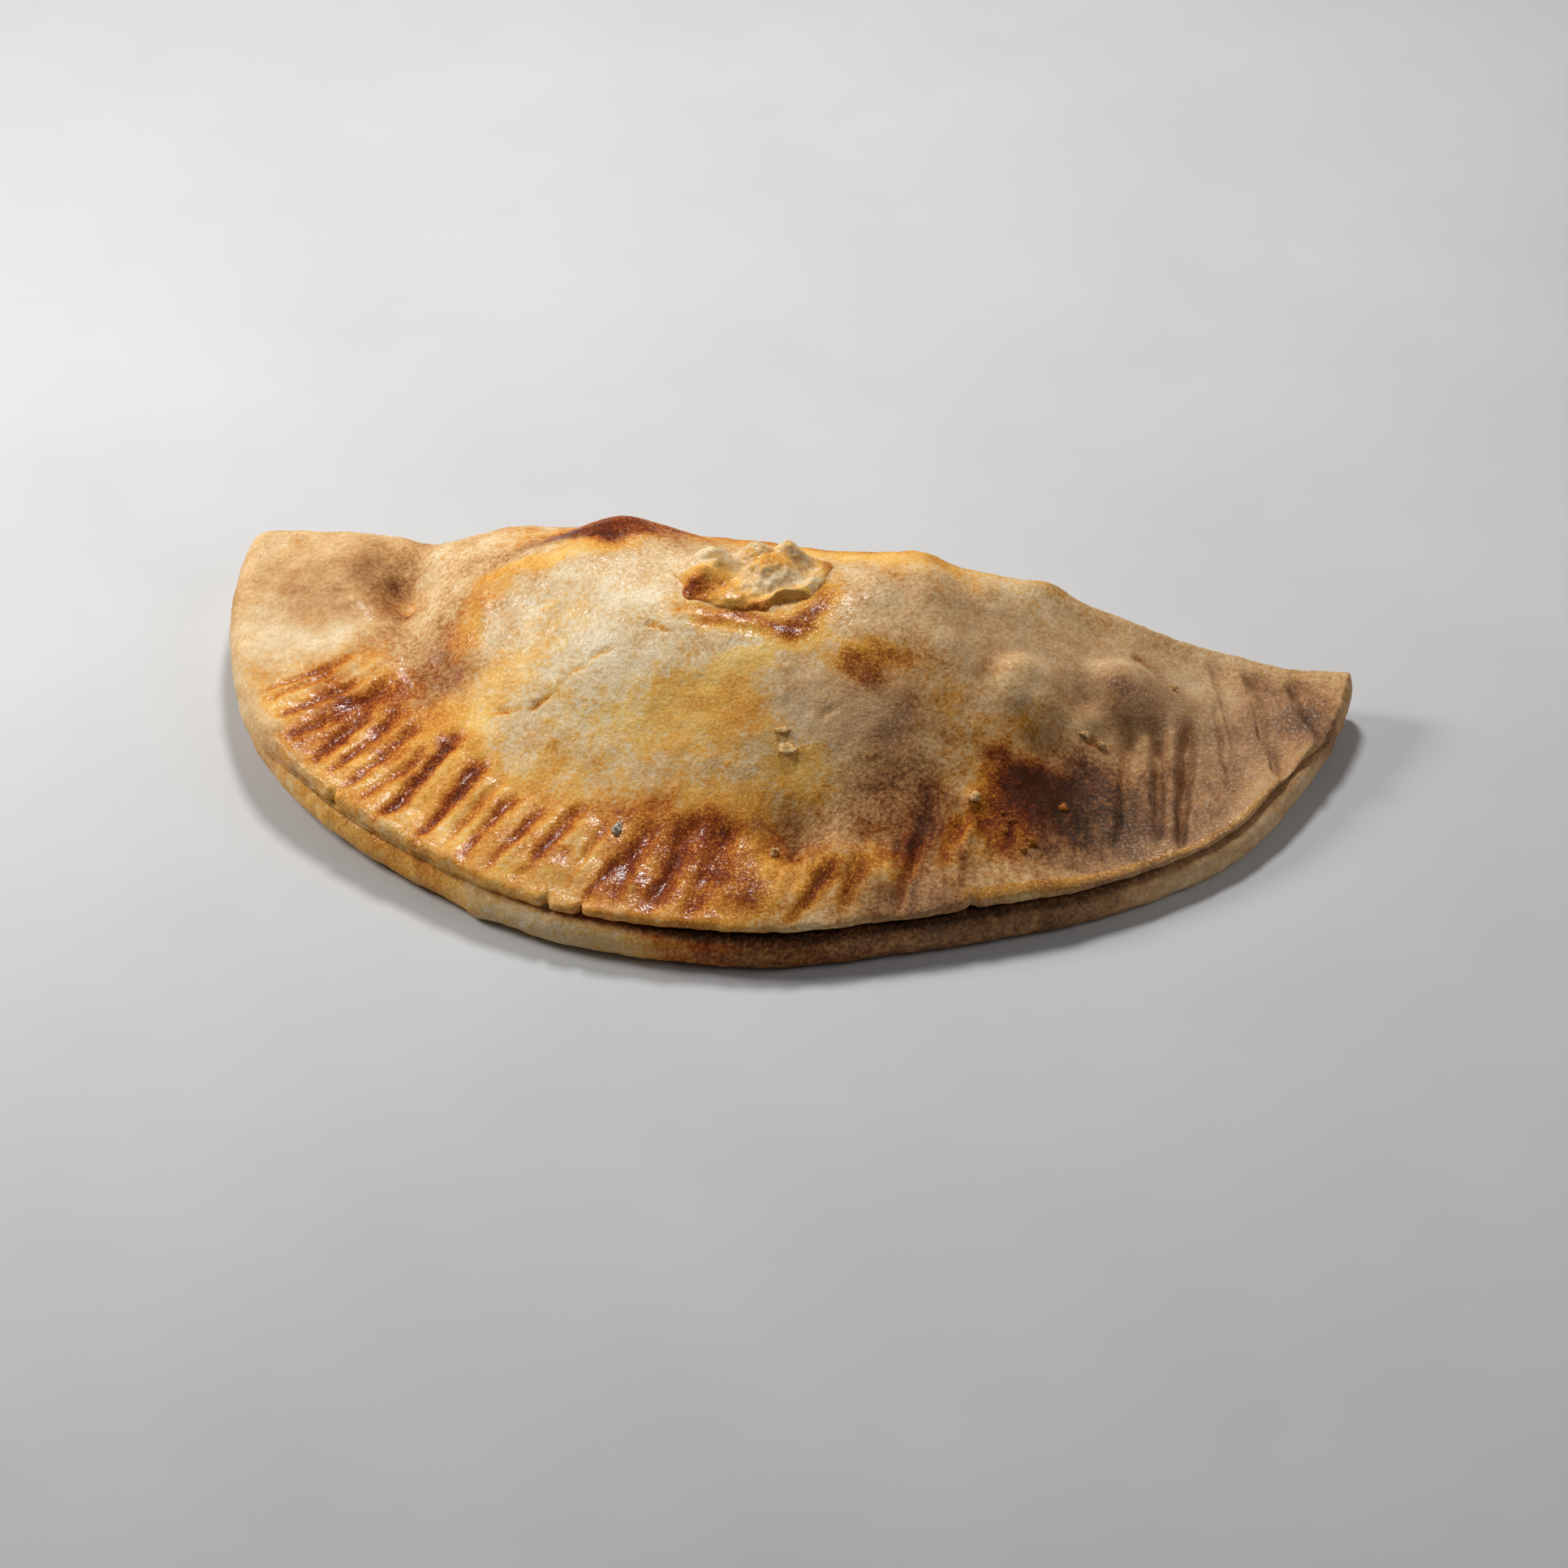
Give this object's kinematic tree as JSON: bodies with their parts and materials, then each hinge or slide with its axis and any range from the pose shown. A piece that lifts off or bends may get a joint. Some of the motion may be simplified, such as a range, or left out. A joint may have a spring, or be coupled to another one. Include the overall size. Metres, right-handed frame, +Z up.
{
  "type": "empanada",
  "caption": "Baked half-moon empanada: a folded disc of dough with a domed filling, a fork-crimped rim of two layers and a scrap of dough stuck on top.",
  "frame": {"origin": "middle of the footprint, on the table", "axes": "+X along the fold towards the slimmer tip, +Y towards the fold at the back, +Z up"},
  "size_m": [0.14, 0.0662, 0.0259],
  "materials": {
    "crust": "baked wheat dough, floury and matt on the dome, egg-washed and satin on the crimped rim",
    "patch_dough": "baked wheat dough, pale with browned edges, egg-washed"
  },
  "bodies": {
    "root": {"pastry": "crust", "dough_patch": "patch_dough"}
  },
  "joints": []
}
